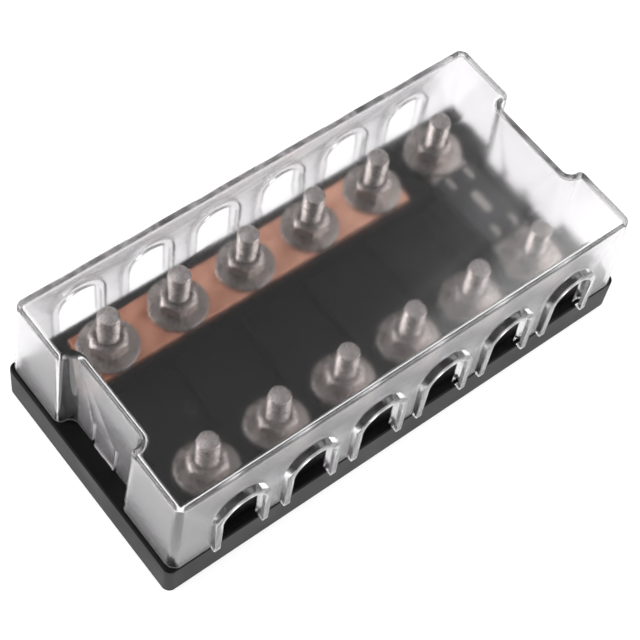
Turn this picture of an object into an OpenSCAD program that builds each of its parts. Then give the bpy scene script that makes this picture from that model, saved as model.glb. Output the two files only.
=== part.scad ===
// Twelve-way M8 stud distribution block: a black moulded base carries two rows
// of studs with washers and nuts, a copper bar joins the first ways of the back
// row, a strip fuse bridges the last way, and a clear cover lifts off.
// Origin in the middle of the base's underside, X along the rows, Z up.

/* [Rows of studs] */
// Ways, which is the number of studs in each row
ways = 6; // [4:1:8]
// Distance from stud to stud along a row
pitch = 28.7; // [27:0.1:34]
// Distance between the two rows
row_gap = 55.7; // [54:0.1:64]
// Base length beyond the last stud
end_margin = 28.25; // [27:0.25:36]
// Base width beyond each row
side_margin = 19.65; // [19:0.05:26]

/* [Studs, washers and nuts] */
// Thread diameter of the studs
stud_d = 8; // [6:0.5:8]
// Length of the bolts that form the studs, under the head
bolt_l = 30; // [28:1:32]
// How far a stud stands up from the face that the washer or bar rests on
stud_rise = 20.3; // [18:0.1:22]
// Height of the bolt head
head_h = 5.3; // [4:0.1:6]
// Width across the flats of nuts and bolt heads
hex_af = 13; // [10:0.5:13]
// Height of the nuts
nut_h = 6.5; // [5:0.1:7]
// Outside diameter of the washers
washer_d = 22; // [18:0.5:22]
// Thickness of the washers
washer_t = 1.6; // [1:0.1:2]

/* [Bus bar] */
// Width of the copper bar
bar_w = 20.4; // [16:0.1:21]
// Thickness of the bar, and height of the landings that level the other studs
bar_t = 3; // [2:0.5:4]
// Bar length beyond its first and last stud
bar_margin = 9.9; // [8:0.1:12]

/* [Base moulding] */
// Height of the ledge that the cover stands on
ledge_h = 15; // [14:0.5:18]
// Height of the deck under the two rows
deck_h = 24.2; // [23:0.1:27]
// Height of the trough floor between the rows
trough_h = 12; // [10:0.5:13]
// Width of the trough
trough_w = 33; // [28:0.5:33]
// Rise of the flat pads on the trough floor
pad_rise = 3; // [1:0.5:4]
// Width of a pad
pad_w = 18.7; // [14:0.1:19]
// Diameter of the round landings
landing_d = 22.4; // [20:0.1:22.6]
// Wall thickness of the moulding
base_t = 2.5; // [2:0.1:3]
// Thickness of the ribs underneath
rib_t = 1.6; // [1.2:0.1:2]
// Radius of the base's upright corners
base_r = 3; // [2:0.5:5]
// Diameter of the screw holes in the trough floor
screw_d = 5.2; // [4.2:0.1:5.5]

/* [Cover moulding] */
// Wall thickness of the cover
cover_t = 2; // [1.5:0.1:2.5]
// Free height over the studs
head_room = 5.5; // [3:0.5:12]
// Ledge left outside the cover at each end
end_ledge = 1.5; // [1:0.1:3]
// Ledge left outside the cover along each side
side_ledge = 0.3; // [0.2:0.1:1]
// Lean of the end walls, from the ledge to the top
end_draft = 2; // [0:0.1:3]
// Lean of the side walls, from the ledge to the top
side_draft = 1.1; // [0:0.1:2]
// Radius of the cover's upright corners
cover_r = 3.5; // [3:0.1:6]
// Rounding of the top edge
top_r = 1.4; // [0.8:0.1:1.6]
// Depth of the finger recess in each end
recess_d = 5.9; // [5:0.1:7]
// Width of the finger recess at the ledge
recess_w = 36.4; // [30:0.2:40]
// Lip radius of the recess, where the end wall turns in
recess_r = 2.5; // [2:0.1:3]
// Clearance between the plinth and the cover's walls
plinth_gap = 1.8; // [1.2:0.1:2.5]

/* [Cable arches] */
// Clear width of a cable arch
arch_w = 17; // [13:0.5:18]
// Height of the arch's crown above the ledge
arch_h = 25.3; // [20:0.1:27]
// Thickness of the hood round an arch
hood_t = 2.7; // [2:0.1:3]
// How far a hood stands out from the foot of the side wall
hood_out = 2.15; // [1.5:0.05:4]
// Length of hood left hanging below the ledge
hood_hang = 0.5; // [0:0.1:2]

/* [Latches] */
// Width of a latch tongue
tongue_w = 11; // [8:0.5:16]
// Width of the slit on each side of a tongue
slit_w = 1.5; // [1:0.1:2]
// Height of the slits above the ledge
slit_h = 12.8; // [8:0.1:20]
// How far a tongue reaches down into the ledge
tongue_drop = 2.3; // [1.5:0.1:2.4]
// Clearance round a tongue in its slot
tongue_gap = 0.5; // [0.4:0.1:0.8]

/* [Fuse] */
// Thickness of the fuse blade
blade_t = 1; // [0.8:0.1:1.5]
// Width of the fuse blade
blade_w = 16; // [12:0.5:18]
// Width of the fuse housing
fuse_w = 17.4; // [17:0.1:20]
// Height of the fuse housing above the blade
fuse_rise = 2; // [1.5:0.1:3]
// Depth of the fuse housing below the blade
fuse_sink = 2.2; // [1.5:0.1:2.4]

/* [Hidden] */
$fn = 96;
eps = 1;
base_l = (ways - 1) * pitch + 2 * end_margin;
base_w = row_gap + 2 * side_margin;
row_y = row_gap / 2;
contact_h = deck_h + bar_t;
stud_top = contact_h + stud_rise;
head_seat = stud_top - bolt_l;
cover_top = stud_top + head_room + cover_t;
cover_hx = base_l / 2 - end_ledge;
cover_hy = base_w / 2 - side_ledge;
plinth_hx = cover_hx - cover_t - plinth_gap;
plinth_hy = cover_hy - cover_t - plinth_gap;
recess_clear = 1.1;
recess_face = cover_hx - recess_d - cover_t - recess_clear;
trough_hx = recess_face - base_t + 0.5;
pad_h = trough_h + pad_rise;
spring_h = ledge_h + arch_h - arch_w / 2;
hood_face = cover_hy + hood_out;
latch_x = cover_hx - recess_d - cover_t / 2;
bar_first = -(ways - 1) * pitch / 2;
bar_last = bar_first + (ways - 2) * pitch;
hole_clear = 0.6;
thread_clear = 0.1;
pitch_drop = 0.8;
pocket_clear = 0.2;
boss_wall = 2.2;
fuse_gap = 0.4;
rows = ["back", "front"];

// Place of way i of a row
function way_x(i) = (i - (ways + 1) / 2) * pitch;
function way_y(row) = row == "back" ? row_y : -row_y;
// Top of what the washer of way i lies on: the bar, a landing or the fuse blade
function seat_h(i) = contact_h + (i == ways ? blade_t : 0);
function nut_top(i) = seat_h(i) + washer_t + nut_h;

// Box from its middle in X and Y and its two heights
module slab(l, w, low, high) {
    translate([-l / 2, -w / 2, low])
        cube([l, w, high - low]);
}

// Half section of a block with a rounded top edge
module edge_profile(half, h, e) {
    square([half - e, h]);
    square([half, h - e]);
    translate([half - e, h - e])
        circle(e);
}

// Upright block with corner radius r and rounding e along its top edge
module rounded_block(l, w, h, r, e) {
    rotate([90, 0, 90])
        linear_extrude(l - 2 * r, center = true) {
            edge_profile(w / 2, h, e);
            mirror([1, 0])
                edge_profile(w / 2, h, e);
        }
    for (turn = [0, 180])
        rotate(turn)
            translate([l / 2 - r, 0, 0]) {
                rotate([90, 0, 0])
                    linear_extrude(w - 2 * r, center = true)
                        edge_profile(r, h, e);
                for (side = [0, 1])
                    mirror([0, side, 0])
                        translate([0, w / 2 - r, 0])
                            rotate_extrude(angle = 90)
                                edge_profile(r, h, e);
            }
}

// Repeats its children at every stud, row by row
module each_way(from = 1, to = ways, only = rows) {
    for (row = only, i = [from:to])
        translate([way_x(i), way_y(row), 0])
            children();
}

// ---- Base moulding ----

// Raised part inside the cover, cut back behind the finger recesses
module plinth() {
    difference() {
        rounded_block(2 * plinth_hx, 2 * plinth_hy, deck_h, 1.5, 0.6);
        for (turn = [0, 180])
            rotate(turn)
                translate([recess_face, -recess_w / 2 - cover_t - recess_clear, ledge_h])
                    cube([end_margin, recess_w + 2 * (cover_t + recess_clear), deck_h]);
    }
}

// Open trough between the rows, with a low pad across each way
module trough() {
    difference() {
        slab(2 * trough_hx, trough_w, trough_h, deck_h + eps);
        for (i = [1:ways])
            translate([way_x(i), 0, 0])
                slab(pad_w, trough_w + eps, trough_h - eps, pad_h);
    }
}

// Space under the skins of trough, pads, ledge and decks, before its ribs
module hollow() {
    rim_l = base_l - 2 * base_t;
    rim_w = base_w - 2 * base_t;
    block_w = trough_w + 2 * base_t;
    slab(rim_l, rim_w, -eps, trough_h - base_t);
    for (i = [1:ways])
        translate([way_x(i), 0, 0])
            slab(pad_w - base_t, trough_w - base_t, 0, pad_h - base_t);
    difference() {
        slab(rim_l, rim_w, 0, ledge_h - base_t);
        slab(2 * recess_face, block_w, -eps, ledge_h);
    }
    difference() {
        slab(2 * (recess_face - base_t), 2 * (plinth_hy - base_t), 0, deck_h - base_t);
        slab(base_l, block_w, -eps, deck_h);
    }
}

// Ribs across and along, trough walls and end walls carried down, stud bosses
module stiffening() {
    for (k = [-(ways - 1):ways - 1])
        translate([k * pitch / 2, 0, 0])
            slab(rib_t, base_w, 0, deck_h);
    slab(base_l, rib_t, 0, deck_h);
    for (side = [-1, 1]) {
        translate([0, side * (trough_w + base_t) / 2, 0])
            slab(base_l, base_t, 0, deck_h);
        translate([side * (recess_face - base_t / 2), 0, 0])
            slab(base_t, base_w, 0, deck_h);
        translate([side * screw_x(), 0, 0])
            cylinder(d = 2 * screw_d, h = deck_h);
    }
    each_way()
        cylinder(d = hex_af / cos(30) + 2 * boss_wall, h = deck_h);
}

// The two screw holes lie in the grooves beside the outermost pads
function screw_x() = way_x(ways) - pitch / 2;

module base() {
    color("#1b1b1d")
        difference() {
            union() {
                rounded_block(base_l, base_w, ledge_h, base_r, 0.8);
                plinth();
                each_way(1, ways, ["front"])
                    cylinder(d = landing_d, h = contact_h);
                each_way(ways, ways, ["back"])
                    cylinder(d = landing_d, h = contact_h);
            }
            trough();
            difference() {
                hollow();
                stiffening();
            }
            each_way() {
                cylinder(d = stud_d + pocket_clear, h = contact_h + eps);
                translate([0, 0, -eps])
                    cylinder(d = (hex_af + pocket_clear) / cos(30), h = head_seat + eps, $fn = 6);
            }
            for (side = [-1, 1]) {
                translate([side * screw_x(), 0, -eps])
                    cylinder(d = screw_d, h = trough_h + 2 * eps);
                translate([side * latch_x, 0, 0])
                    slab(cover_t + 2 * tongue_gap, tongue_w + 2 * tongue_gap,
                        ledge_h - base_t - eps, ledge_h + eps);
            }
        }
}

// ---- Cover moulding ----

steps = 8;
function arc(cx, cy, r, from, to, first = 0) = [
    for (i = [first:steps])
        let (a = from + (to - from) * i / steps)
            [cx + r * cos(a), cy + r * sin(a)]
];

// Outline of one end, from the front corner round the recess to the back corner
function end_outline(hx, hy, rc, w, r) =
    let (in = recess_d - r, x = hx - r)
    concat(
        arc(hx - rc, rc - hy, rc, -90, 0),
        arc(x, -w - r, r, 0, 90),
        arc(x, in - w, in, -90, -180, 1),
        arc(x, w - in, in, 180, 90),
        arc(x, w + r, r, -90, 0, 1),
        arc(hx - rc, hy - rc, rc, 0, 90)
    );

// Closed ring of points at height z, moved inwards by inset from the outer face
function ring(z, inset) =
    let (
        rise = (z - ledge_h) / (cover_top - ledge_h),
        half = end_outline(
            cover_hx - end_draft * rise - inset,
            cover_hy - side_draft * rise - inset,
            cover_r - inset,
            recess_w / 2 + rise + inset,
            max(recess_r - inset, 0.4)
        )
    )
    [for (turn = [1, -1], p = half) [turn * p.x, turn * p.y, z]];

// Thin wall open at the foot: rings go up the outside and come down the inside
module vessel(outer, inner) {
    n = len(outer[0]);
    inner_from = len(outer) * n;
    outer_top = inner_from - n;
    total = inner_from + len(inner) * n;
    polyhedron(
        [for (r = concat(outer, inner)) each r],
        concat(
            [[for (i = [n - 1:-1:0]) outer_top + i], [for (i = [0:n - 1]) inner_from + i]],
            [for (k = [0:n:total - n], i = [0:n - 1])
                if (k != outer_top)
                    let (j = (i + 1) % n, next = (k + n) % total)
                    [k + i, next + i, next + j, k + j]]
        )
    );
}

// Drafted walls and top, with the top edge rounded outside
module cover_shell() {
    vessel(
        concat(
            [ring(ledge_h, 0)],
            [for (a = [0:18:90]) ring(cover_top - top_r * (1 - sin(a)), top_r * (1 - cos(a)))]
        ),
        [for (z = [cover_top - cover_t, ledge_h]) ring(z, cover_t)]
    );
}

// Section of a hood: across its thickness, and out from inside the wall
module hood_profile() {
    inner = cover_hy - cover_t + 0.4;
    soft = 0.8;
    translate([arch_w / 2, inner]) {
        square([hood_t - soft, hood_face - inner]);
        square([hood_t, hood_face - inner - soft]);
        translate([hood_t - soft, hood_face - inner - soft])
            circle(soft);
    }
}

// Hood round one arch: half ring on two straight legs, standing on the ledge
module hood() {
    rotate([90, 0, 0]) {
        rotate_extrude(angle = 180)
            hood_profile();
        for (side = [0, 1])
            mirror([side, 0, 0])
                rotate([90, 0, 0]) {
                    linear_extrude(spring_h - ledge_h)
                        hood_profile();
                    linear_extrude(spring_h - ledge_h + hood_hang)
                        intersection() {
                            hood_profile();
                            translate([0, base_w / 2 + 0.2])
                                square(base_w);
                        }
                }
    }
}

module cover() {
    color("#dfe5e8", 0.4)
        difference() {
            union() {
                cover_shell();
                for (side = [0, 1], i = [1:ways])
                    mirror([0, side, 0])
                        translate([way_x(i), 0, spring_h])
                            hood();
                for (side = [-1, 1])
                    translate([side * latch_x, 0, 0])
                        slab(cover_t - 0.1, tongue_w, ledge_h - tongue_drop, ledge_h + 0.5);
            }
            for (i = [1:ways])
                translate([way_x(i), 0, spring_h])
                    rotate([90, 0, 0])
                        linear_extrude(base_w + 20, center = true) {
                            circle(d = arch_w);
                            translate([-arch_w / 2, -spring_h])
                                square([arch_w, spring_h]);
                        }
            for (side = [-1, 1], slit = [-1, 1])
                translate([side * latch_x, slit * (tongue_w + slit_w) / 2, 0])
                    slab(2 * cover_t, slit_w, 0, ledge_h + slit_h);
        }
}

// ---- Copper bar ----

module busbar() {
    soft = 0.4;
    mid = (bar_first + bar_last) / 2;
    len_x = bar_last - bar_first + 2 * bar_margin;
    color("#b8795a")
        difference() {
            translate([mid, row_y, deck_h])
                intersection() {
                    rotate([90, 0, 90])
                        linear_extrude(len_x, center = true)
                            bar_section(bar_w, soft);
                    rotate([90, 0, 0])
                        linear_extrude(bar_w, center = true)
                            bar_section(len_x, soft);
                }
            each_way(1, ways - 1, ["back"])
                cylinder(d = stud_d + hole_clear, h = contact_h + eps);
        }
}

// Section of the bar with its four edges taken off
module bar_section(w, c) {
    polygon([
        [-w / 2, c], [c - w / 2, 0], [w / 2 - c, 0], [w / 2, c],
        [w / 2, bar_t - c], [w / 2 - c, bar_t], [c - w / 2, bar_t], [-w / 2, bar_t - c]
    ]);
}

// ---- Studs, washers and nuts ----

// Hexagon with its corners taken off at the ends named
module hexagon(h, low = true, high = true) {
    flat = 0.46 * hex_af;
    wide = 0.6 * hex_af;
    drop = (wide - flat) * tan(30);
    intersection() {
        cylinder(d = hex_af / cos(30), h = h, $fn = 6);
        rotate_extrude()
            polygon([
                [0, 0], [low ? flat : wide, 0], [wide, drop],
                [wide, h - drop], [high ? flat : wide, h], [0, h]
            ]);
    }
}

// Hex bolt put in from below. The thread stands at its outer diameter where it
// is free and at its pitch diameter where the nut and the base hold it.
module stud(free_from) {
    tip = 0.8;
    held = (stud_d - pitch_drop) / 2;
    color("#a9a7a0") {
        translate([0, 0, head_seat - head_h])
            hexagon(head_h, true, false);
        rotate_extrude()
            polygon([
                [0, head_seat - eps], [held, head_seat - eps],
                [held, free_from], [stud_d / 2, free_from],
                [stud_d / 2, stud_top - tip], [stud_d / 2 - tip, stud_top], [0, stud_top]
            ]);
    }
}

module washer() {
    soft = 0.25;
    hole = (stud_d + hole_clear) / 2;
    rim = washer_d / 2;
    color("#bdbab2")
        rotate_extrude()
            polygon([
                [hole, 0], [rim - soft, 0], [rim, soft],
                [rim, washer_t - soft], [rim - soft, washer_t], [hole, washer_t]
            ]);
}

module nut() {
    sink = 0.6;
    hole = stud_d - pitch_drop + thread_clear;
    color("#b3b0a8")
        difference() {
            hexagon(nut_h);
            translate([0, 0, -eps])
                cylinder(d = hole, h = nut_h + 2 * eps);
            translate([0, 0, nut_h - sink])
                cylinder(d1 = hole, d2 = stud_d + 2 * sink, h = sink);
        }
}

// ---- Fuse ----

// Blade with half-round ends, clamped under the washers of the last way
module fuse_strip() {
    color("#c4c1b8")
        translate([way_x(ways), 0, contact_h])
            difference() {
                union() {
                    slab(blade_w, row_gap, 0, blade_t);
                    for (side = [-1, 1])
                        translate([0, side * row_y, 0])
                            cylinder(d = blade_w, h = blade_t);
                }
                for (side = [-1, 1])
                    translate([0, side * row_y, -eps])
                        cylinder(d = stud_d + hole_clear, h = blade_t + 2 * eps);
            }
}

// Housing round the blade: a flat block with four oblong pads and a middle rib
module fuse_body() {
    l = row_gap - landing_d - 2 * fuse_gap;
    low = contact_h - fuse_sink;
    high = contact_h + blade_t + fuse_rise;
    pad = 0.5;
    color("#232326")
        translate([way_x(ways), 0, 0])
            difference() {
                union() {
                    translate([0, 0, low])
                        rounded_block(fuse_w, l, high - low, 1.2, 0.5);
                    for (x = [-1, 1] * fuse_w / 4, y = [-1, 1] * l * 3 / 8)
                        translate([x, y, high - eps])
                            oblong(5.6, 2, eps + pad);
                    translate([0, 0, high - eps])
                        oblong(10, 3, eps + pad);
                }
                slab(blade_w, l + 2 * eps, contact_h, contact_h + blade_t);
            }
}

// Low pad with half-round ends, its length along Y
module oblong(l, w, h) {
    slab(w, l - w, 0, h);
    for (side = [-1, 1])
        translate([0, side * (l - w) / 2, 0])
            cylinder(d = w, h = h);
}

// ---- Pieces ----

base();
cover();
busbar();
for (row = rows, i = [1:ways])
    translate([way_x(i), way_y(row), 0]) {
        stud(nut_top(i));
        translate([0, 0, seat_h(i)]) washer();
        translate([0, 0, seat_h(i) + washer_t]) nut();
    }
fuse_strip();
fuse_body();
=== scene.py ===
# Twelve-way M8 power distribution block, dressed for a picture: black moulded
# base, copper bar, plated studs, washers and nuts, strip fuse and clear cover.

import math

import bmesh
import bpy
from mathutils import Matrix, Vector


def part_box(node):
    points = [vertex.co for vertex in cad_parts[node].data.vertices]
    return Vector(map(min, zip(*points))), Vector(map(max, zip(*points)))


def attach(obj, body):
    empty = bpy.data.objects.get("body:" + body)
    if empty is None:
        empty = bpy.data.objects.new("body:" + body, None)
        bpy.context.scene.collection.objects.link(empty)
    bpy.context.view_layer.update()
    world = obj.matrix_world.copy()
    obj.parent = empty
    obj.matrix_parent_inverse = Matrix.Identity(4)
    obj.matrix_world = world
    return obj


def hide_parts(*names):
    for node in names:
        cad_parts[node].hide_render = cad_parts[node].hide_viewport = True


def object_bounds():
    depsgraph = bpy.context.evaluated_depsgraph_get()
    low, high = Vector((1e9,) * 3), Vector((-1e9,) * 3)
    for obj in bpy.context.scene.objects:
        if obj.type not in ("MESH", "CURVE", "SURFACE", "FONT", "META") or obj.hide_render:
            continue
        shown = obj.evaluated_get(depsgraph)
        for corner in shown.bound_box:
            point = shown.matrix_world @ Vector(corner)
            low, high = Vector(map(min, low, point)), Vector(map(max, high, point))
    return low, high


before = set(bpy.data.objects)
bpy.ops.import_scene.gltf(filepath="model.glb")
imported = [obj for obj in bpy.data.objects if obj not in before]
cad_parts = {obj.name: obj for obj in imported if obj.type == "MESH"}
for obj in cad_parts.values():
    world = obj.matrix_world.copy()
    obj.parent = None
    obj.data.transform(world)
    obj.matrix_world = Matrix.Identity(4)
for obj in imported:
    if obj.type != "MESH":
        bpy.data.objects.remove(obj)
cad_low, cad_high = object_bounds()
MM = 0.001

# ---------------------------------------------------------------- camera
# A long lens held above the front left corner of the block, turned a little
# about its own axis so that the block lies from lower left to upper right.

view_azimuth = math.radians(-47.44)
view_elevation = math.radians(58.65)
view_distance = 633.4 * MM
view_roll = math.radians(11.09)
aim = Vector((-6.7, -5.5, 30.0)) * MM
sensor_w = 36
lens_length = 103.6
near_clip = 0.05
far_clip = 20

back = Vector((
    math.sin(view_azimuth) * math.cos(view_elevation),
    -math.cos(view_azimuth) * math.cos(view_elevation),
    math.sin(view_elevation),
))
camera = bpy.data.objects.new("camera", bpy.data.cameras.new("camera"))
bpy.context.scene.collection.objects.link(camera)
camera.data.sensor_width = sensor_w
camera.data.lens = lens_length
camera.data.clip_start = near_clip
camera.data.clip_end = far_clip
camera.location = aim + back * view_distance
upright = (-back).to_track_quat("-Z", "Y").to_euler()
camera.rotation_euler = upright
camera.rotation_euler.rotate_axis("Z", view_roll)
bpy.context.scene.camera = camera

# ---------------------------------------------------------------- base moulding
# One black ABS moulding: ledge, plinth, trough and round landings. The tool was
# spark eroded, which leaves a fine even grain and a satin shine.


def linear(code):
    """An sRGB hex value as a linear colour with full alpha."""
    parts = [int(code[i:i + 2], 16) / 255 for i in (1, 3, 5)]
    return [p / 12.92 if p <= 0.04045 else ((p + 0.055) / 1.055) ** 2.4 for p in parts] + [1.0]


def add(tree, kind, settings=None, links=None):
    """Adds one shader node with its settings and its links."""
    made = tree.nodes.new("ShaderNode" + kind)
    for name, value in (settings or {}).items():
        if name in made.inputs:
            made.inputs[name].default_value = value
        else:
            setattr(made, name, value)
    for name, source in (links or {}).items():
        tree.links.new(source, made.inputs[name])
    return made


def start_material(name):
    """A new material with an empty node tree."""
    material = bpy.data.materials.new(name)
    material.use_nodes = True
    material.node_tree.nodes.clear()
    return material, material.node_tree


def wear(piece, material):
    """Makes one material the only one on a piece."""
    piece.data.materials.clear()
    piece.data.materials.append(material)


# A real grain of about 0.1 mm wouldn't show, so it is drawn coarser.
grain_mm = 0.45
flow_mm = 22
abs_black, tree = start_material("abs_black_moulded")
place = add(tree, "TexCoord")
grain = add(tree, "TexNoise", {"Scale": 1 / (grain_mm * MM), "Detail": 3.0, "Roughness": 0.6},
            {"Vector": place.outputs["Object"]})
flow = add(tree, "TexNoise", {"Scale": 1 / (flow_mm * MM), "Detail": 2.0},
           {"Vector": place.outputs["Object"]})
satin = add(tree, "MapRange", {"From Min": 0.3, "From Max": 0.7, "To Min": 0.36, "To Max": 0.46},
            {"Value": flow.outputs["Fac"]})
tone = add(tree, "ValToRGB", {}, {"Fac": flow.outputs["Fac"]})
tone.color_ramp.elements[0].position = 0.3
tone.color_ramp.elements[0].color = linear("#060607")
tone.color_ramp.elements[1].position = 0.7
tone.color_ramp.elements[1].color = linear("#0a0a0b")
relief = add(tree, "Bump", {"Strength": 0.25, "Distance": 0.02 * MM},
             {"Height": grain.outputs["Fac"]})
skin = add(tree, "BsdfPrincipled", {"IOR": 1.54, "Specular IOR Level": 0.12}, {
    "Base Color": tone.outputs["Color"],
    "Roughness": satin.outputs["Result"],
    "Normal": relief.outputs["Normal"],
})
add(tree, "OutputMaterial", {}, {"Surface": skin.outputs["BSDF"]})
wear(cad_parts["base"], abs_black)

# ---------------------------------------------------------------- bus bar
# Flat copper bar, rolled, sheared and drilled. Rolling leaves fine lines along it, and it has dulled
# to a warm pinkish brown in random patches. Over that, painted shade makes it darker towards its left
# end and lighter towards its right.

# The lines of a real bar are finer than this and wouldn't show.
roll_line_mm = 0.25
roll_stretch = 0.02
tarnish_mm = 9
painted_shade_span = 0.3
bar_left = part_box("busbar")[0].x
bar_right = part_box("busbar")[1].x
copper, tree = start_material("copper_rolled")
place = add(tree, "TexCoord")
along = add(tree, "Mapping", {"Scale": (roll_stretch, 1.0, 1.0)}, {"Vector": place.outputs["Object"]})
lines = add(tree, "TexNoise", {"Scale": 1 / (roll_line_mm * MM), "Detail": 4.0},
            {"Vector": along.outputs["Vector"]})
tarnish = add(tree, "TexNoise", {"Scale": 1 / (tarnish_mm * MM), "Detail": 4.0},
              {"Vector": place.outputs["Object"]})
spot = add(tree, "SeparateXYZ", {}, {"Vector": place.outputs["Object"]})
# Painted shade: the colour is pushed darker towards the bar's left end and lighter towards its right,
# as the light falls along it.
painted_shade_left = add(tree, "MapRange", {
    "From Min": bar_left, "From Max": bar_right, "To Min": -painted_shade_span, "To Max": painted_shade_span,
}, {"Value": spot.outputs["X"]})
# Random tarnish plus the painted shade along the bar.
tarnish_and_painted_shade = add(tree, "Math", {"operation": "ADD"},
            {0: tarnish.outputs["Fac"], 1: painted_shade_left.outputs["Result"]})
tone = add(tree, "ValToRGB", {}, {"Fac": tarnish_and_painted_shade.outputs["Value"]})
tone.color_ramp.elements[0].position = 0.1
tone.color_ramp.elements[0].color = linear("#a5694f")
tone.color_ramp.elements[1].position = 0.9
tone.color_ramp.elements[1].color = linear("#f8c3aa")
gloss = add(tree, "MapRange", {"From Min": 0.3, "From Max": 0.7, "To Min": 0.46, "To Max": 0.58},
            {"Value": lines.outputs["Fac"]})
relief = add(tree, "Bump", {"Strength": 0.3, "Distance": 0.01 * MM},
             {"Height": lines.outputs["Fac"]})
metal = add(tree, "BsdfPrincipled", {"Metallic": 1.0}, {
    "Base Color": tone.outputs["Color"],
    "Roughness": gloss.outputs["Result"],
    "Normal": relief.outputs["Normal"],
})
add(tree, "OutputMaterial", {}, {"Surface": metal.outputs["BSDF"]})
wear(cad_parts["busbar"], copper)

# ---------------------------------------------------------------- studs
# Hex bolts put in from below, cold headed with rolled M8 threads and nickel
# plated. The plating is a warm grey with a soft, faintly blotched shine.

thread_r = 4.0 * MM
thread_pitch = 1.25 * MM
thread_depth = 0.7 * MM
rows_per_turn = 8
tip_chamfer = 0.45 * MM
stud_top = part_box("stud_back_1")[1].z
head_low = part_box("stud_back_1")[0].z
head_high = head_low + 5.3 * MM
chamfer_slope = math.tan(math.radians(30))
crown_share = 0.46
hex_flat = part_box("nut_back_1")[1].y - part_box("nut_back_1")[0].y
shank_r = thread_r - 0.45 * MM


def make_piece(name, points, faces, smooth_angle=35):
    """A mesh object whose edges sharper than the angle stay sharp."""
    mesh = bpy.data.meshes.new(name)
    mesh.from_pydata(points, [], faces)
    mesh.update()
    mesh.polygons.foreach_set("use_smooth", [True] * len(mesh.polygons))
    mesh.set_sharp_from_angle(angle=math.radians(smooth_angle))
    piece = bpy.data.objects.new(name, mesh)
    bpy.context.scene.collection.objects.link(piece)
    return piece


def skin_rings(rings, closed=False):
    """Quads between rings of equal length, with a cap on each end unless closed."""
    count, size = len(rings), len(rings[0])
    points = [p for ring in rings for p in ring]
    faces = []
    for k in range(count if closed else count - 1):
        low, high = k * size, (k + 1) % count * size
        for i in range(size):
            j = (i + 1) % size
            faces.append((low + i, low + j, high + j, high + i))
    if not closed:
        faces.append(tuple(reversed(range(size))))
        faces.append(tuple(range((count - 1) * size, count * size)))
    return points, faces


def hex_outline(flat, corner=0.35 * MM, flat_steps=8, corner_steps=3):
    """A hexagon with rounded corners, its flats divided so that a chamfer curves."""
    points = []
    reach = (flat / 2 - corner) / math.cos(math.radians(30))
    for side in range(6):
        middle = math.radians(60 * side)
        cx, cy = reach * math.cos(middle), reach * math.sin(middle)
        for step in range(corner_steps + 1):
            a = middle + math.radians(-30 + 60 * step / corner_steps)
            points.append((cx + corner * math.cos(a), cy + corner * math.sin(a)))
        ahead = math.radians(60 * (side + 1))
        nx, ny = reach * math.cos(ahead), reach * math.sin(ahead)
        leave = middle + math.radians(30)
        x0, y0 = cx + corner * math.cos(leave), cy + corner * math.sin(leave)
        x1, y1 = nx + corner * math.cos(leave), ny + corner * math.sin(leave)
        for step in range(1, flat_steps):
            t = step / flat_steps
            points.append((x0 + (x1 - x0) * t, y0 + (y1 - y0) * t))
    return points


def hex_rings(flat, low, high, bore, chamfer_low, chamfer_high):
    """Rings over a hexagon with chamfered ends, from its bore out and back in."""
    outline = hex_outline(flat)
    crown = crown_share * flat

    def ring(radius, z):
        return [(radius * x / math.hypot(x, y), radius * y / math.hypot(x, y), z) for x, y in outline]

    def edge(z, up, cut):
        slope = chamfer_slope if cut else 0.0
        return [(x, y, z - up * (max(0.0, math.hypot(x, y) - crown) * slope)) for x, y in outline]

    return [
        ring(bore, low), ring(crown, low), edge(low, -1, chamfer_low),
        edge(high, 1, chamfer_high), ring(crown, high), ring(bore, high),
    ]


def thread_rings(turns, low, high, tip):
    """Rings up a threaded shank: a rolled profile, run out into a chamfered tip."""
    count = round((high - low) / (thread_pitch / rows_per_turn))
    rings = []
    for step in range(count + 1):
        z = low + (high - low) * step / count
        limit = min(thread_r, thread_r - (z - (high - tip)))
        ring = []
        for turn in turns:
            phase = (z / thread_pitch - turn) % 1.0
            groove = thread_depth * (0.5 + 0.5 * math.cos(2 * math.pi * phase)) ** 0.8
            radius = min(thread_r - groove, limit)
            a = 2 * math.pi * turn
            ring.append((radius * math.cos(a), radius * math.sin(a), z))
        rings.append(ring)
    return rings


def stud_mesh(free_from):
    """One skin: the head, the plain shank inside the nut and the thread above it."""
    shank_ends = free_from - 1.0 * MM
    thread_starts = free_from - 0.8 * MM
    turns = [math.atan2(y, x) / (2 * math.pi) for x, y in hex_outline(hex_flat)]
    head = hex_rings(hex_flat, head_low, head_high, shank_r, True, False)
    shank = [(shank_r * math.cos(2 * math.pi * t), shank_r * math.sin(2 * math.pi * t), shank_ends)
             for t in turns]
    return skin_rings(head + [shank] + thread_rings(turns, thread_starts, stud_top, tip_chamfer))


blotch_mm = 3.5
# Pits in the plating are finer than this and wouldn't show.
pit_mm = 0.3
nickel, tree = start_material("steel_nickel_plated")
place = add(tree, "TexCoord")
blotch = add(tree, "TexNoise", {"Scale": 1 / (blotch_mm * MM), "Detail": 5.0},
             {"Vector": place.outputs["Object"]})
each = add(tree, "ObjectInfo")
tone = add(tree, "ValToRGB", {}, {"Fac": blotch.outputs["Fac"]})
tone.color_ramp.elements[0].position = 0.25
tone.color_ramp.elements[0].color = linear("#948d8a")
tone.color_ramp.elements[1].position = 0.75
tone.color_ramp.elements[1].color = linear("#b8b0ab")
tone_each = add(tree, "MapRange", {"To Min": 0.9, "To Max": 1.05},
                {"Value": each.outputs["Random"]})
shade = add(tree, "HueSaturation", {}, {
    "Color": tone.outputs["Color"], "Value": tone_each.outputs["Result"]})
polish = add(tree, "MapRange", {"From Min": 0.3, "From Max": 0.7, "To Min": 0.23, "To Max": 0.33},
             {"Value": blotch.outputs["Fac"]})
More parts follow.
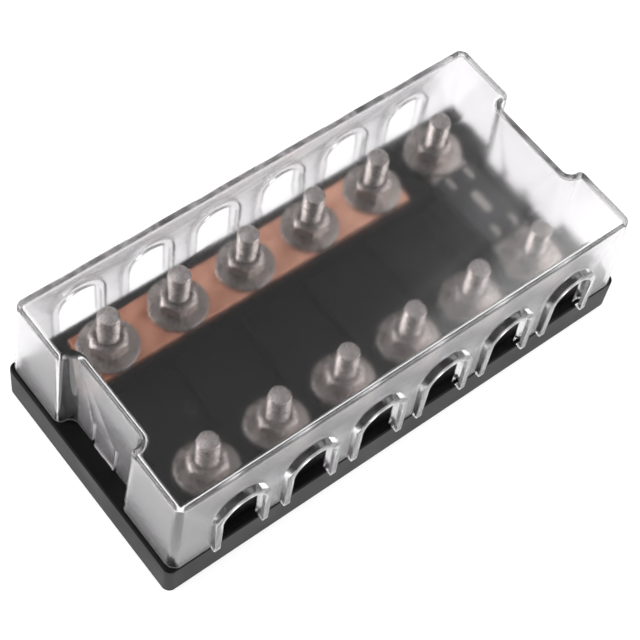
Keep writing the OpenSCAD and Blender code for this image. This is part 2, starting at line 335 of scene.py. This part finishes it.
pitting = add(tree, "TexNoise", {"Scale": 1 / (pit_mm * MM), "Detail": 2.0},
              {"Vector": place.outputs["Object"]})
relief = add(tree, "Bump", {"Strength": 0.15, "Distance": 0.02 * MM},
             {"Height": pitting.outputs["Fac"]})
metal = add(tree, "BsdfPrincipled", {"Metallic": 1.0}, {
    "Base Color": shade.outputs["Color"],
    "Roughness": polish.outputs["Result"],
    "Normal": relief.outputs["Normal"],
})
add(tree, "OutputMaterial", {}, {"Surface": metal.outputs["BSDF"]})

# Where the bar was cropped to length, the end is torn, dull and unplated.
tear_mm = 0.7
cropped, tree = start_material("steel_cropped_end")
place = add(tree, "TexCoord")
tear = add(tree, "TexNoise", {"Scale": 1 / (tear_mm * MM), "Detail": 4.0},
           {"Vector": place.outputs["Object"]})
tone = add(tree, "ValToRGB", {}, {"Fac": tear.outputs["Fac"]})
tone.color_ramp.elements[0].position = 0.3
tone.color_ramp.elements[0].color = linear("#7f7a78")
tone.color_ramp.elements[1].position = 0.7
tone.color_ramp.elements[1].color = linear("#b6b0ad")
relief = add(tree, "Bump", {"Strength": 0.3, "Distance": 0.05 * MM},
             {"Height": tear.outputs["Fac"]})
metal = add(tree, "BsdfPrincipled", {"Metallic": 0.7, "Roughness": 0.42},
            {"Base Color": tone.outputs["Color"], "Normal": relief.outputs["Normal"]})
add(tree, "OutputMaterial", {}, {"Surface": metal.outputs["BSDF"]})


def centre_of(node):
    """The middle of a node's box."""
    low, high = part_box(node)
    return (low + high) / 2


def fit_hardware(name, node, mesh, height=None):
    """Puts a shared mesh where a CAD node is and lets it stand for that node."""
    piece = bpy.data.objects.new(name, mesh)
    bpy.context.scene.collection.objects.link(piece)
    middle = centre_of(node)
    piece.location = (middle.x, middle.y, 0.0 if height is None else height)
    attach(piece, "base")
    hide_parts(node)
    return piece


ways = range(1, 7)
rows = ("back", "front")
end_skin = 0.01 * MM
stud_meshes = {}
for row in rows:
    for way in ways:
        free_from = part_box(f"nut_{row}_{way}")[1].z
        key = round(free_from / MM, 2)
        if key not in stud_meshes:
            points, faces = stud_mesh(free_from)
            first = make_piece("stud_pattern", points, faces, smooth_angle=50)
            stud_meshes[key] = first.data
            stud_meshes[key].materials.append(nickel)
            stud_meshes[key].materials.append(cropped)
            for face in first.data.polygons:
                face.material_index = 1 if face.center.z > stud_top - end_skin else 0
            bpy.data.objects.remove(first)
        fit_hardware(f"bolt_{row}_{way}", f"stud_{row}_{way}", stud_meshes[key])

# ---------------------------------------------------------------- washers
# Plain washers punched from sheet: the punch leaves one edge of the rim rolled
# over. Same plating as the bolts.

washer_low, washer_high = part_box("washer_back_1")
washer_r = (washer_high.x - washer_low.x) / 2
washer_t = washer_high.z - washer_low.z
washer_bore = 4.3 * MM
rim_roll = 0.45 * MM
rim_nick = 0.12 * MM
rim_steps = 96
roll_steps = 4


def washer_mesh():
    """Rings round a section with a rolled upper rim and slightly broken edges."""
    section = [
        (washer_bore, rim_nick), (washer_bore + rim_nick, 0.0),
        (washer_r - rim_nick, 0.0), (washer_r, rim_nick),
    ]
    for step in range(roll_steps + 1):
        a = math.radians(90 * step / roll_steps)
        section.append((washer_r - rim_roll + rim_roll * math.cos(a),
                        washer_t - rim_roll + rim_roll * math.sin(a)))
    section += [(washer_bore + rim_nick, washer_t), (washer_bore, washer_t - rim_nick)]
    rings = [
        [(r * math.cos(2 * math.pi * i / rim_steps), r * math.sin(2 * math.pi * i / rim_steps), z)
         for i in range(rim_steps)]
        for r, z in section
    ]
    return skin_rings(rings, closed=True)


pattern = make_piece("washer_pattern", *washer_mesh())
shared_washer = pattern.data
shared_washer.materials.append(nickel)
bpy.data.objects.remove(pattern)
for row in rows:
    for way in ways:
        node = f"washer_{row}_{way}"
        fit_hardware(f"plain_{node}", node, shared_washer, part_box(node)[0].z)

# ---------------------------------------------------------------- nuts
# Cold-formed hex nuts, chamfered on both faces and countersunk at the top of the
# thread, in the same plating as the bolts.

nut_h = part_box("nut_back_1")[1].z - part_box("nut_back_1")[0].z
nut_bore = 3.7 * MM
sink_depth = 0.7 * MM
sink_r = nut_bore + 0.9 * MM


def nut_mesh():
    """The hexagon's rings with a countersink let into the upper face."""
    rings = hex_rings(hex_flat, 0.0, nut_h, nut_bore, True, True)
    top = rings.pop()
    rim = [(x * sink_r / math.hypot(x, y), y * sink_r / math.hypot(x, y), z) for x, y, z in top]
    throat = [(x, y, z - sink_depth) for x, y, z in top]
    return skin_rings(rings + [rim, throat], closed=True)


pattern = make_piece("nut_pattern", *nut_mesh())
shared_nut = pattern.data
shared_nut.materials.append(nickel)
bpy.data.objects.remove(pattern)
for row in rows:
    for way in ways:
        node = f"nut_{row}_{way}"
        fit_hardware(f"hex_{node}", node, shared_nut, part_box(node)[0].z)

# ---------------------------------------------------------------- fuse
# Strip fuse across the last way: a tinned copper blade with a black glass-filled
# nylon housing moulded round it. Four tinned pads and a rib show on its top.

# Dipped tin is a pale grey with a soft, mottled shine.
mottle_mm = 2.5
tin, tree = start_material("copper_tinned")
place = add(tree, "TexCoord")
mottle = add(tree, "TexNoise", {"Scale": 1 / (mottle_mm * MM), "Detail": 4.0},
             {"Vector": place.outputs["Object"]})
dull = add(tree, "MapRange", {"From Min": 0.3, "From Max": 0.7, "To Min": 0.28, "To Max": 0.4},
           {"Value": mottle.outputs["Fac"]})
metal = add(tree, "BsdfPrincipled", {"Metallic": 1.0, "Base Color": linear("#b5b0ac")},
            {"Roughness": dull.outputs["Result"]})
add(tree, "OutputMaterial", {}, {"Surface": metal.outputs["BSDF"]})
wear(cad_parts["fuse_strip"], tin)

# Glass fibres under the skin make the nylon's shine uneven. They are drawn
# coarser than they are, so that they show.
fibre_mm = 0.5
nylon, tree = start_material("nylon_black_moulded")
place = add(tree, "TexCoord")
fibre = add(tree, "TexNoise", {"Scale": 1 / (fibre_mm * MM), "Detail": 4.0},
            {"Vector": place.outputs["Object"]})
dull = add(tree, "MapRange", {"From Min": 0.3, "From Max": 0.7, "To Min": 0.25, "To Max": 0.38},
           {"Value": fibre.outputs["Fac"]})
relief = add(tree, "Bump", {"Strength": 0.2, "Distance": 0.02 * MM},
             {"Height": fibre.outputs["Fac"]})
skin = add(tree, "BsdfPrincipled", {"IOR": 1.53, "Base Color": linear("#1d1d20")},
           {"Roughness": dull.outputs["Result"], "Normal": relief.outputs["Normal"]})
add(tree, "OutputMaterial", {}, {"Surface": skin.outputs["BSDF"]})
wear(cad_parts["fuse_body"], nylon)
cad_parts["fuse_body"].data.materials.append(tin)
pad_skin = 0.05 * MM
housing_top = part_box("fuse_body")[1].z
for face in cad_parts["fuse_body"].data.polygons:
    face.material_index = 1 if face.center.z > housing_top - pad_skin else 0

# ---------------------------------------------------------------- cover
# One clear polycarbonate moulding, 2 mm thick: drafted walls, an S-shaped finger
# recess with a latch tongue in each end, and twelve hooded cable arches. The
# tool has a fine matte grain, so what lies deeper inside looks softer.

cover_low, cover_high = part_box("cover")
ledge_h = 15.0 * MM
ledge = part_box("base")[0].z + ledge_h
cover_top = cover_high.z
cover_hx = cover_high.x
hood_face = cover_high.y
hood_out = 2.15 * MM
cover_hy = hood_face - hood_out
wall = 2.0 * MM
end_draft = 2.0 * MM
side_draft = 1.1 * MM
recess_draft = 1.0 * MM
corner_r = 3.5 * MM
lip_r = 2.5 * MM
recess_depth = 5.9 * MM
recess_half = 18.2 * MM
top_round = 1.4 * MM
inner_round = 1.0 * MM
least_r = 0.4 * MM
arch_r = 8.5 * MM
spring_h = 16.8 * MM
spring = ledge + spring_h
hood_t = 2.7 * MM
hood_step = 0.5 * MM
tongue_half = 5.5 * MM
tongue_half_t = 0.95 * MM
slit = 1.5 * MM
slit_h = 12.8 * MM
slit_top = ledge + slit_h
foot_h = 0.8 * MM
arc_steps = 12
arch_steps = 48
top_steps = 8
inner_steps = 6
soft_steps = 4


def arc(cx, cy, r, start, end, first=0):
    """Points along an arc, from one angle to another in degrees."""
    return [
        (cx + r * math.cos(math.radians(start + (end - start) * i / arc_steps)),
         cy + r * math.sin(math.radians(start + (end - start) * i / arc_steps)))
        for i in range(first, arc_steps + 1)
    ]


def cover_ring(z, inset):
    """The cover's outline at height z, moved in from the outer face by inset."""
    rise = (z - ledge) / (cover_top - ledge)
    hx = cover_hx - end_draft * rise - inset
    hy = cover_hy - side_draft * rise - inset
    rc = max(corner_r - inset, least_r)
    w = recess_half + recess_draft * rise + inset
    r = max(lip_r - inset, least_r)
    inner = recess_depth - r
    x = hx - r
    end = (
        arc(hx - rc, rc - hy, rc, -90, 0) + arc(x, -w - r, r, 0, 90)
        + arc(x, inner - w, inner, -90, -180, 1) + arc(x, w - inner, inner, 180, 90)
        + arc(x, w + r, r, -90, 0, 1) + arc(hx - rc, hy - rc, rc, 0, 90)
    )
    return [(turn * px, turn * py, z) for turn in (1, -1) for px, py in end]


def shell_mesh():
    """The hollow box: up the outside from the foot strip, over the top, down inside."""
    rings = [cover_ring(ledge, 0.0), cover_ring(ledge + foot_h, 0.0)]
    for step in range(top_steps + 1):
        a = math.radians(90 * step / top_steps)
        rings.append(cover_ring(cover_top - top_round * (1 - math.sin(a)),
                                top_round * (1 - math.cos(a))))
    outer_count = len(rings)
    ceiling = cover_top - wall
    for step in range(inner_steps + 1):
        a = math.radians(90 - 90 * step / inner_steps)
        rings.append(cover_ring(ceiling - inner_round * (1 - math.sin(a)),
                                wall + inner_round * (1 - math.cos(a))))
    rings.append(cover_ring(ledge, wall))
    size = len(rings[0])
    points = [p for ring in rings for p in ring]
    faces = [
        tuple((outer_count - 1) * size + i for i in range(size)),
        tuple(outer_count * size + i for i in reversed(range(size))),
    ]
    for k in range(len(rings)):
        if k == outer_count - 1:
            continue
        low, high = k * size, (k + 1) % len(rings) * size
        for i in range(size):
            j = (i + 1) % size
            faces.append((low + i, low + j, high + j, high + i))
    return points, faces


def hood_mesh(x, side):
    """Arch-shaped tube standing out from the side wall, with a soft front edge."""
    soft = 0.5 * MM
    hair = 0.02 * MM
    thin = arch_r - 0.3 * MM
    thick = arch_r + hood_t
    root = cover_hy - wall + 0.4 * MM
    hang = cover_hy + hood_step
    column = [root, hang - hair, hang, hood_face - soft]
    front = []
    for step in range(1, soft_steps + 1):
        a = math.radians(90 * step / soft_steps)
        front.append((soft * (1 - math.cos(a)), hood_face - soft + soft * math.sin(a)))
    left = [(thin, v) for v in column] + [(thin, v) for u, v in front]
    right = [(thick, v) for v in column] + [(thick - u, v) for u, v in front]
    section = left + right[::-1]
    size = len(section)
    stations = [(math.pi * i / arch_steps, False) for i in range(arch_steps + 1)]
    stations = [(0.0, True)] + stations + [(math.pi, True)]
    rings = []
    for turn, foot in stations:
        ring = []
        for u, v in section:
            drop = (spring - ledge + (hood_step if v >= hang else 0.0)) if foot else 0.0
            ring.append((x + u * math.cos(turn), side * v, spring + u * math.sin(turn) - drop))
        rings.append(ring)
    points = [p for ring in rings for p in ring]
    faces = []
    for k in range(len(rings) - 1):
        for i in range(size):
            j = (i + 1) % size
            faces.append((k * size + i, k * size + j, (k + 1) * size + j, (k + 1) * size + i))
    half = size // 2
    last = (len(rings) - 1) * size
    for i in range(half - 1):
        faces.append((i, size - 1 - i, size - 2 - i, i + 1)[::-1])
        faces.append((last + i, last + size - 1 - i, last + size - 2 - i, last + i + 1))
    return points, faces


def arch_mesh(x):
    """Prism through both side walls, in the shape of the cable arch."""
    below = ledge - 3 * MM
    beyond = 60 * MM
    outline = [(arch_r * math.cos(math.pi * i / arch_steps),
                spring + arch_r * math.sin(math.pi * i / arch_steps)) for i in range(arch_steps + 1)]
    outline = outline + [(-arch_r, below), (arch_r, below)]
    rings = [[(x + u, y, z) for u, z in outline] for y in (beyond, -beyond)]
    return skin_rings(rings)


def block_mesh(low, high):
    """A plain block between two corners."""
    (x0, y0, z0), (x1, y1, z1) = low, high
    ring = [(x0, y0), (x1, y0), (x1, y1), (x0, y1)]
    return skin_rings([[(x, y, z) for x, y in ring] for z in (z0, z1)])


def merged(meshes):
    """Several meshes as one list of points and one of faces."""
    points, faces = [], []
    for more_points, more_faces in meshes:
        shift = len(points)
        points += more_points
        faces += [tuple(i + shift for i in f) for f in more_faces]
    return points, faces


def outward(piece):
    """Turns every face of a closed mesh outwards."""
    work = bmesh.new()
    work.from_mesh(piece.data)
    bmesh.ops.recalc_face_normals(work, faces=work.faces)
    work.to_mesh(piece.data)
    work.free()


def combine(piece, tool, operation):
    """Joins a tool to a piece or cuts it away, and uses the tool up."""
    cut = piece.modifiers.new("cut", "BOOLEAN")
    cut.object = tool
    cut.operation = operation
    cut.solver = "EXACT"
    bake(piece)
    bpy.data.objects.remove(tool)


def bake(piece):
    """Keeps what a piece's modifiers make as its own mesh."""
    shown = piece.evaluated_get(bpy.context.evaluated_depsgraph_get())
    mesh = bpy.data.meshes.new_from_object(shown)
    piece.modifiers.clear()
    piece.data = mesh


# The tool's grain is finer than this and wouldn't show. The haze rises, per metre along X
# and Y, towards the right front corner.
matte_mm = 0.5
matte_stretch = 0.3
haze_slope = (3.5, -8.9, 0.0)


def polycarbonate(name, haze_low, haze_high, haze_gain, milk_out, milk_in=0.0):
    """Clear polycarbonate: its roughness, the rise of it, and how milky each side is."""
    material, tree = start_material(name)
    place = add(tree, "TexCoord")
    drawn = add(tree, "Mapping", {"Scale": (matte_stretch, 1.0, 1.0)},
                {"Vector": place.outputs["Object"]})
    matte = add(tree, "TexNoise", {"Scale": 1 / (matte_mm * MM), "Detail": 3.0, "Roughness": 0.65},
                {"Vector": drawn.outputs["Vector"]})
    grain = add(tree, "MapRange", {
        "From Min": 0.3, "From Max": 0.7, "To Min": haze_low, "To Max": haze_high,
    }, {"Value": matte.outputs["Fac"]})
    reach = add(tree, "VectorMath", {"operation": "DOT_PRODUCT"}, {0: place.outputs["Object"]})
    reach.inputs[1].default_value = haze_slope
    gain = add(tree, "MapRange", {
        "From Min": -0.5, "From Max": 0.5, "To Min": 0.0, "To Max": haze_gain,
    }, {"Value": reach.outputs["Value"]})
    haze = add(tree, "Math", {"operation": "ADD"},
               {0: grain.outputs["Result"], 1: gain.outputs["Result"]})
    relief = add(tree, "Bump", {"Strength": 0.03, "Distance": 0.01 * MM},
                 {"Height": matte.outputs["Fac"]})
    clear = add(tree, "BsdfPrincipled", {
        "Base Color": linear("#f8f7f8"), "IOR": 1.585, "Transmission Weight": 1.0,
    }, {"Roughness": haze.outputs["Value"], "Normal": relief.outputs["Normal"]})
    milk = add(tree, "BsdfDiffuse", {"Color": linear("#f3eff3")})
    side = add(tree, "NewGeometry")
    share = add(tree, "MapRange", {"To Min": milk_out, "To Max": milk_in},
                {"Value": side.outputs["Backfacing"]})
    skin = add(tree, "MixShader", {}, {"Fac": share.outputs["Result"]})
    tree.links.new(clear.outputs["BSDF"], skin.inputs[1])
    tree.links.new(milk.outputs["BSDF"], skin.inputs[2])
    let_light = add(tree, "BsdfTransparent", {"Color": linear("#efeeef")})
    path = add(tree, "LightPath")
    blend = add(tree, "MixShader", {}, {"Fac": path.outputs["Is Shadow Ray"]})
    tree.links.new(skin.outputs["Shader"], blend.inputs[1])
    tree.links.new(let_light.outputs["BSDF"], blend.inputs[2])
    add(tree, "OutputMaterial", {}, {"Surface": blend.outputs["Shader"]})
    return material


fine_matte = polycarbonate("polycarbonate_fine_matte", 0.09, 0.105, 0.08, 0.006)
side_grain = polycarbonate("polycarbonate_side_grain", 0.265, 0.27, 0.0, 0.1)
rim = polycarbonate("polycarbonate_rim", 0.3, 0.34, 0.0, 0.85, 0.85)
smooth_edge = polycarbonate("polycarbonate_smooth_edge", 0.115, 0.125, 0.0, 0.0)

slots = {"smooth_edge": 0, "side_grain": 1, "rim": 2, "fine_matte": 3}

cover = make_piece("cover_moulding", *shell_mesh())
outward(cover)
for material in (smooth_edge, side_grain, rim, fine_matte):
    cover.data.materials.append(material)
for face in cover.data.polygons:
    highest = max(cover.data.vertices[i].co.z for i in face.vertices)
    in_strip = highest < ledge + 1.1 * foot_h
    face.material_index = slots["rim"] if in_strip else slots["smooth_edge"]
way_x = [centre_of(f"stud_back_{way}").x for way in ways]
hoods = make_piece("hoods", *merged(hood_mesh(x, side) for x in way_x for side in (1, -1)))
outward(hoods)
combine(cover, hoods, "UNION")
latch_x = cover_hx - recess_depth - wall / 2
tongue_tip = cover_low.z
tongue_root = ledge + 0.5 * MM
tongues = make_piece("tongues", *merged(
    block_mesh((s * latch_x - tongue_half_t, -tongue_half, tongue_tip),
               (s * latch_x + tongue_half_t, tongue_half, tongue_root))
    for s in (1, -1)))
outward(tongues)
combine(cover, tongues, "UNION")
arches = make_piece("arches", *merged(arch_mesh(x) for x in way_x))
outward(arches)
combine(cover, arches, "DIFFERENCE")
slit_low = ledge - 5 * MM
slits = make_piece("slits", *merged(
    block_mesh((s * latch_x - 2 * wall, t * (tongue_half + slit / 2) - slit / 2, slit_low),
               (s * latch_x + 2 * wall, t * (tongue_half + slit / 2) + slit / 2, slit_top))
    for s in (1, -1) for t in (1, -1)))
outward(slits)
combine(cover, slits, "DIFFERENCE")

# The joined skins are cleaned of slivers, and then every sharp edge is eased, apart from the
# low step where the hoods hang over the ledge.
weld = 0.01 * MM
flat_angle = math.radians(0.5)
sharp_angle = math.radians(50)
near_ledge = 0.1 * MM
near_step = 0.05 * MM
work = bmesh.new()
work.from_mesh(cover.data)
bmesh.ops.remove_doubles(work, verts=work.verts, dist=weld)
bmesh.ops.dissolve_limit(work, angle_limit=flat_angle, verts=work.verts, edges=work.edges)
bmesh.ops.holes_fill(work, edges=[edge for edge in work.edges if edge.is_boundary], sides=8)
bmesh.ops.recalc_face_normals(work, faces=work.faces)
eased = work.edges.layers.float.new("bevel_weight_edge")
for edge in work.edges:
    in_step = all(v.co.z < ledge + near_ledge and abs(abs(v.co.y) - cover_hy - hood_step) < near_step
                  for v in edge.verts)
    if edge.calc_face_angle(0.0) > sharp_angle and not in_step:
        edge[eased] = 1.0
work.to_mesh(cover.data)
work.free()
ease = cover.modifiers.new("ease", "BEVEL")
ease.width = 0.22 * MM
ease.segments = 2
ease.limit_method = "WEIGHT"
ease.use_clamp_overlap = False
ease.miter_outer = "MITER_ARC"
bake(cover)
cover.data.polygons.foreach_set("use_smooth", [True] * len(cover.data.polygons))
cover.data.set_sharp_from_angle(angle=math.radians(35))
for vertex in cover.data.vertices:
    vertex.co.y = max(-hood_face, min(hood_face, vertex.co.y))

# Flat faces get the grain of their side of the tool. The cut faces of the slits and the
# feet of the hoods are milky like the foot strip, and what is left stays smooth.
square_on = 0.98
for face in cover.data.polygons:
    middle, normal = face.center, face.normal
    faces_end = normal.x * middle.x > 0 and abs(normal.x) > square_on
    faces_side = normal.y * middle.y > 0 and abs(normal.y) > square_on and abs(middle.y) < cover_hy
    by_latch = abs(middle.x) > latch_x - wall and abs(middle.y) < 2 * tongue_half
    in_slit = abs(normal.y) > square_on and by_latch
    hood_foot = normal.z < -0.5 and middle.z < spring and abs(middle.y) > cover_hy
    if in_slit or hood_foot:
        face.material_index = slots["rim"]
    elif face.material_index == slots["smooth_edge"] and (faces_end or faces_side):
        face.material_index = slots["side_grain"]
    elif abs(normal.z) > square_on and middle.z > cover_top - 1.5 * wall:
        face.material_index = slots["fine_matte"]
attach(cover, "cover")
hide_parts("cover")

# ---------------------------------------------------------------- floor and light
# An opal light table under the block, a softbox on each side of the camera, a
# small one past the right end, and a tent bright to each side and dim overhead.

table_half = 3.0
corners = [(-table_half, -table_half, 0), (table_half, -table_half, 0),
           (table_half, table_half, 0), (-table_half, table_half, 0)]
floor = make_piece("floor", corners, [(0, 1, 2, 3)])
floor.location.z = cad_low.z - 0.05 * MM

# Cast opal sheet glows an even white and has no mirror to speak of.
tooth_mm = 0.8
acrylic, tree = start_material("acrylic_opal_cast")
place = add(tree, "TexCoord")
tooth = add(tree, "TexNoise", {"Scale": 1 / (tooth_mm * MM), "Detail": 2.0},
            {"Vector": place.outputs["Object"]})
relief = add(tree, "Bump", {"Strength": 0.05, "Distance": 0.02 * MM},
             {"Height": tooth.outputs["Fac"]})
sheet = add(tree, "BsdfPrincipled", {
    "Base Color": linear("#f0f0f0"), "Roughness": 0.9,
    "Emission Color": linear("#ffffff"), "Emission Strength": 0.55,
}, {"Normal": relief.outputs["Normal"]})
add(tree, "OutputMaterial", {}, {"Surface": sheet.outputs["BSDF"]})
wear(floor, acrylic)

sideways = Vector((math.cos(view_azimuth), math.sin(view_azimuth), 0.0))
tent_dim = 0.18
tent_bright = 1.0
world = bpy.data.worlds.new("light_tent")
world.use_nodes = True
bpy.context.scene.world = world
tree = world.node_tree
tree.nodes.clear()
place = add(tree, "TexCoord")
to_side = add(tree, "VectorMath", {"operation": "DOT_PRODUCT"}, {0: place.outputs["Generated"]})
to_side.inputs[1].default_value = sideways
either = add(tree, "Math", {"operation": "ABSOLUTE"}, {0: to_side.outputs["Value"]})
glow = add(tree, "MapRange", {
    "From Min": 0.2, "From Max": 0.9, "To Min": tent_dim, "To Max": tent_bright,
}, {"Value": either.outputs["Value"]})
fabric = add(tree, "Background", {"Color": (1, 1, 1, 1)}, {"Strength": glow.outputs["Result"]})
add(tree, "OutputWorld", {}, {"Surface": fabric.outputs["Background"]})


def lamp(name, place_at, size, power):
    """A square softbox turned towards the middle of the block."""
    light = bpy.data.lights.new(name, "AREA")
    light.size = size
    light.energy = power
    held = bpy.data.objects.new(name, light)
    bpy.context.scene.collection.objects.link(held)
    held.location = place_at
    held.rotation_euler = (-Vector(place_at)).to_track_quat("-Z", "Y").to_euler()


lamp_height = Vector((0, 0, 0.9))
lamp("softbox_right", lamp_height + sideways, size=0.8, power=6)
lamp("softbox_left", lamp_height - sideways, size=0.8, power=8)
lamp("softbox_back", Vector((0.75, 0.13, 0.95)), size=0.4, power=1.4)

bpy.context.scene.view_settings.view_transform = "Standard"
